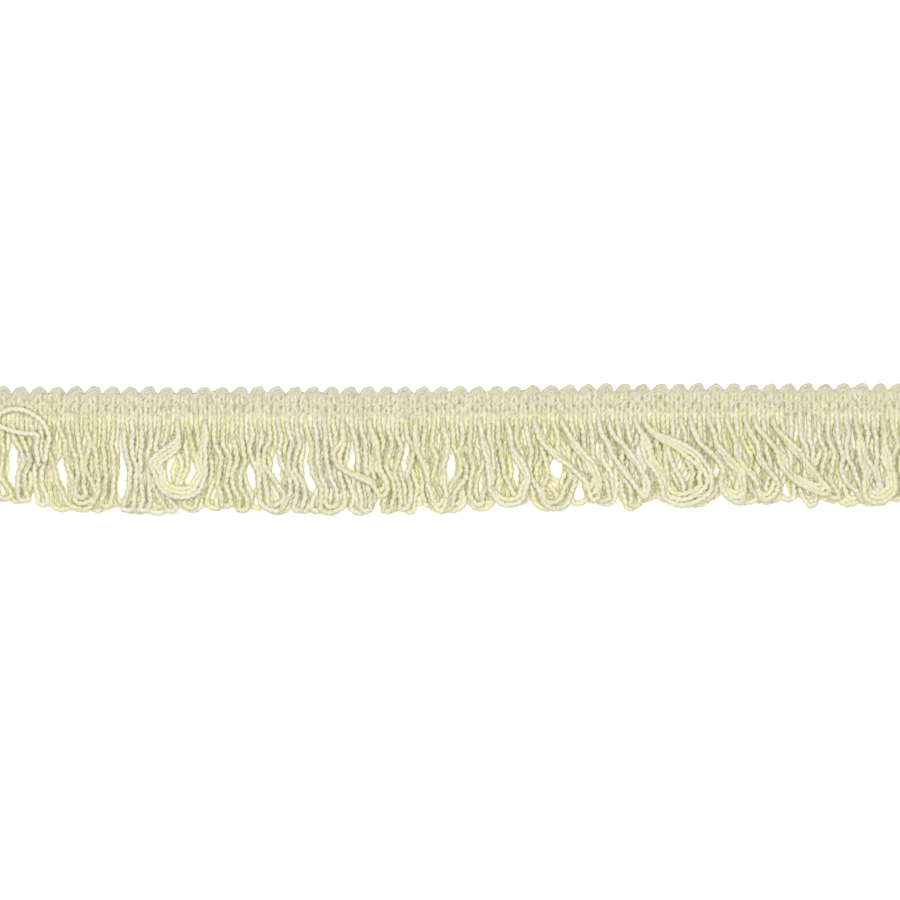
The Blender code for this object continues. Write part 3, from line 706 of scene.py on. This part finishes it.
# %% Make the loops
# the lower a layer, the lower and so yellower its tones: painted shade in the depth, on top of a
# random tone
PILED = (
    # layer, name, material, tones from and to
    (BACK, "loops_back", loop_yarn, (0.2, 0.6)),
    (MIDDLE, "loops_middle", loop_yarn, (0.25, 0.75)),
    (FRONT, "loops_front", upper_yarn_painted_darker, (0.3, 0.8)),
    (OVER, "loops_straying", upper_yarn_painted_darker, (0.4, 0.8)),
)
FIBRES = (
    # layer, name, number
    (MIDDLE, "fuzz_middle", 6000),
    (FRONT, "fuzz_front", 8000),
    (OVER, "fuzz_straying", 2000),
)
for layer, name, material, tones in PILED:
    yarn_piece(name, loop_lines[layer], YARN_RADIUS, material, "loop_fringe", tones=tones)
yarn_piece("loops_following", follow_lines, YARN_RADIUS, upper_yarn_painted_darker, "loop_fringe",
           tones=(0.3, 0.8))
for layer, name, number in FIBRES:
    fuzz_piece(name, loop_lines[layer], YARN_RADIUS, loop_yarn, "loop_fringe", number)

# %% [markdown]
# ## The heading
#
# On the machine a yarn goes up one rib, turns, and comes down the next. Each turn is a scallop. Its
# face has three turns: a dome, a small one that fills it, and a wide low one that closes the notch
# to the next scallop. They lean over to the right. Two more lie behind, on the back. The yarn of
# the edge is painted a shade darker, as painted shade. One line is drawn for each, then repeated.

# %% The turns of the scallops
TURNS = (
    # in millimetres: span, height of its arch, its crest below the top, height of legs and of crest
    (2.60, 1.2, 0.20, 1.45, 1.20),      # the dome
    (1.10, 0.6, 0.90, 1.60, 1.60),      # the small one in it
    (3.72, 0.6, 1.50, 1.60, 1.40),      # the wide low one
    (2.40, 1.2, 0.40, 0.60, 0.60),      # the two on the back
    (3.76, 0.6, 1.60, 0.60, 0.60),
)
LEG_SHARE = 0.3         # of a turn's line, for each leg
TURN_STEPS = 46
TURN_LEAN = 0.35 * MM


def turn_lines(span, height, below, leg_z, crest_z):
    """One line a scallop: up its left leg, over an arch, down its right leg. The arch is halfway
    between half an ellipse and half a sine wave, and it leans right by the square of how far up it
    is. Each scallop's own turn is moved a little at random."""
    part = np.linspace(0, 1, TURN_STEPS)
    arch = np.clip((part - LEG_SHARE) / (1 - 2 * LEG_SHARE), 0, 1) * np.pi
    up = np.sin(arch)
    leg = np.clip(np.minimum(part, 1 - part) / LEG_SHARE, 0, 1)
    foot_y = FOOT_Y + CAUGHT
    y = foot_y + leg * (TOP - below - height - foot_y) + height * up
    x = span / 4 * (2 * arch / np.pi - 1 - np.cos(arch)) + TURN_LEAN * up**2
    z = leg_z + (crest_z - leg_z) * up
    lines = np.repeat(np.stack([x, y, z], axis=-1)[None], SCALLOPS, axis=0)
    middles = (np.arange(SCALLOPS) + 0.5) * SCALLOP_PITCH - LENGTH / 2
    lines[..., 1] += 0.13 * MM * rng.normal(0, 1, (SCALLOPS, 1)) * up
    lines[..., 0] += middles[:, None] + 0.07 * MM * rng.normal(0, 1, (SCALLOPS, 1)) * up
    lines[..., 1] += bow(lines[..., 0])
    return lines


turns = np.concatenate([turn_lines(*(size * MM for size in row)) for row in TURNS])
# the turns take the edge yarn, painted a shade darker as shade
yarn_piece("heading_turns", turns, HEADING_RADIUS, edge_yarn_painted_shade, "heading")

# %% [markdown]
# Two courses of stitches cover the foot of the scallops. Each stitch is a V, one to a rib, with two
# fat limbs that swell between their ends. The upper course comes out from under the domes, and the
# loops come out from under the lower one. Relief painted on would look the same from above only:
# modelled limbs also hold from the side, with 70 faces each.

# %% The courses of stitches
STITCH_STEPS = 9


def stitch_lines(top, bottom, spread, low, high, crown):
    """Two limbs a rib, from top to bottom below the scallops' edge, all in millimetres. They close
    up from one spread to the other by the power 1.5 of how far down they are. Their height goes
    evenly from low to high and swells by crown as a sine. Each moves a little at random."""
    part = np.linspace(0, 1, STITCH_STEPS)
    sides = np.array([-1.0, 1.0])
    ribs = rib_x(np.arange(RIBS))
    swell = np.sin(np.pi * part)
    size = (RIBS, 2, 1)
    closing = spread[0] + (spread[1] - spread[0]) * part**1.5
    x = ribs[:, None, None] + sides[:, None] * closing * MM
    x = x + rng.normal(0, 0.07 * MM, size) + swell * rng.normal(0, 0.09 * MM, size)
    y = TOP - (top + (bottom - top) * part) * MM + rng.normal(0, 0.18 * MM, size)
    z = (low + (high - low) * part) * MM + swell * (crown * MM + rng.normal(0, 0.10 * MM, size))
    x, y, z = (np.broadcast_to(a, (RIBS, 2, STITCH_STEPS)) for a in (x, y, z))
    lines = np.stack([x, y, z], axis=-1).reshape(2 * RIBS, STITCH_STEPS, 3)
    lines[..., 1] += bow(lines[..., 0])
    return lines


dome_course = stitch_lines(1.5, 4.1, (0.78, 0.26), 1.20, 1.75, 0.40)
loop_course = stitch_lines(3.5, 6.4, (0.78, 0.28), 1.55, 1.86, 0.45)
courses = np.concatenate([dome_course, loop_course])
yarn_piece("heading_stitches", courses, HEADING_RADIUS, heading_yarn, "heading", twist=2.6 * MM)
fuzz_piece("fuzz_turns", turns, HEADING_RADIUS, edge_yarn_painted_shade, "heading", 2500)
fuzz_piece("fuzz_stitches", courses, HEADING_RADIUS, heading_yarn, "heading", 3500)

# %% [markdown]
# On the back, two thin threads run along the trim and hold the ribs side by side. Each sways once
# a rib, as a thread does that every rib catches. Real ones may be chain stitches, but the back is
# hidden in use, so one long line for each will do.

# %% The threads on the back
THREADS = ((4.1, 1), (6.1, -1))     # millimetres below the top, and which way it sways first
x = np.linspace(-LENGTH / 2, LENGTH / 2, 700)
swaying = 0.2 * MM * np.sin(2 * np.pi * (x + LENGTH / 2) / RIB)
z = np.full_like(x, THREAD_RADIUS)
backs = np.stack([np.stack([x, TOP - below * MM + way * swaying + bow(x), z], axis=-1)
                  for below, way in THREADS])
yarn_piece("heading_back_threads", backs, THREAD_RADIUS, heading_yarn, "heading", twist=1.5 * MM)

# %% [markdown]
# ## The studio
#
# The trim lies on a plain white surface under soft light, and the camera looks straight down. A
# long lens keeps the far ends from leaning. Colours are shown as they are, with no film curve, and
# the surface glows a little, so it comes out white and lifts the shade under the loops. Brighter
# lamps would whiten it too, but they would bleach the yarn.

# %% Floor, light and camera
VIEW_WIDTH = 207.7 * MM
FLOOR_REACH = 4.0       # metres to each side, so that low views don't show its edge
WHITE = {
    "Base Color": (0.85, 0.85, 0.845, 1),
    "Roughness": 0.9,
    "Emission Color": (1, 1, 1, 1),
    "Emission Strength": 0.35,
}


def plain_floor():
    """A square sheet of white at height 0, where the trim's back lies."""
    mesh = bpy.data.meshes.new("floor")
    signs = ((-1, -1), (1, -1), (1, 1), (-1, 1))
    corners = [(a * FLOOR_REACH, b * FLOOR_REACH, 0) for a, b in signs]
    mesh.from_pydata(corners, [], [(0, 1, 2, 3)])
    paint = bpy.data.materials.new("white surface")
    paint.use_nodes = True
    for socket, value in WHITE.items():
        paint.node_tree.nodes["Principled BSDF"].inputs[socket].default_value = value
    mesh.materials.append(paint)
    floor = bpy.data.objects.new("floor", mesh)
    bpy.context.scene.collection.objects.link(floor)


def soft_light(name, place, size, watts):
    """A large square lamp that looks at the trim."""
    lamp = bpy.data.lights.new(name, "AREA")
    lamp.size, lamp.energy = size, watts
    body = bpy.data.objects.new(name, lamp)
    body.location = place
    body.rotation_mode = "QUATERNION"
    body.rotation_quaternion = (-Vector(place)).to_track_quat("-Z", "Y")
    bpy.context.scene.collection.objects.link(body)


plain_floor()
soft_light("light from above", (-0.02, 0.06, 0.90), 0.6, 6.6)
world = bpy.data.worlds.new("soft room")
world.use_nodes = True
background = world.node_tree.nodes["Background"]
background.inputs["Color"].default_value = (1.0, 0.995, 0.985, 1)
background.inputs["Strength"].default_value = 0.30
bpy.context.scene.world = world
bpy.context.scene.view_settings.view_transform = "Standard"

lens = bpy.data.cameras.new("camera")
lens.lens, lens.sensor_width = 100.0, 36.0
camera = bpy.data.objects.new("camera", lens)
camera.location = (0.0, 0.0, VIEW_WIDTH * lens.lens / lens.sensor_width + 2 * MM)
lens.clip_end = 10.0
bpy.context.scene.collection.objects.link(camera)
bpy.context.scene.camera = camera
print(f"camera {camera.location.z:.3f} m above the trim")
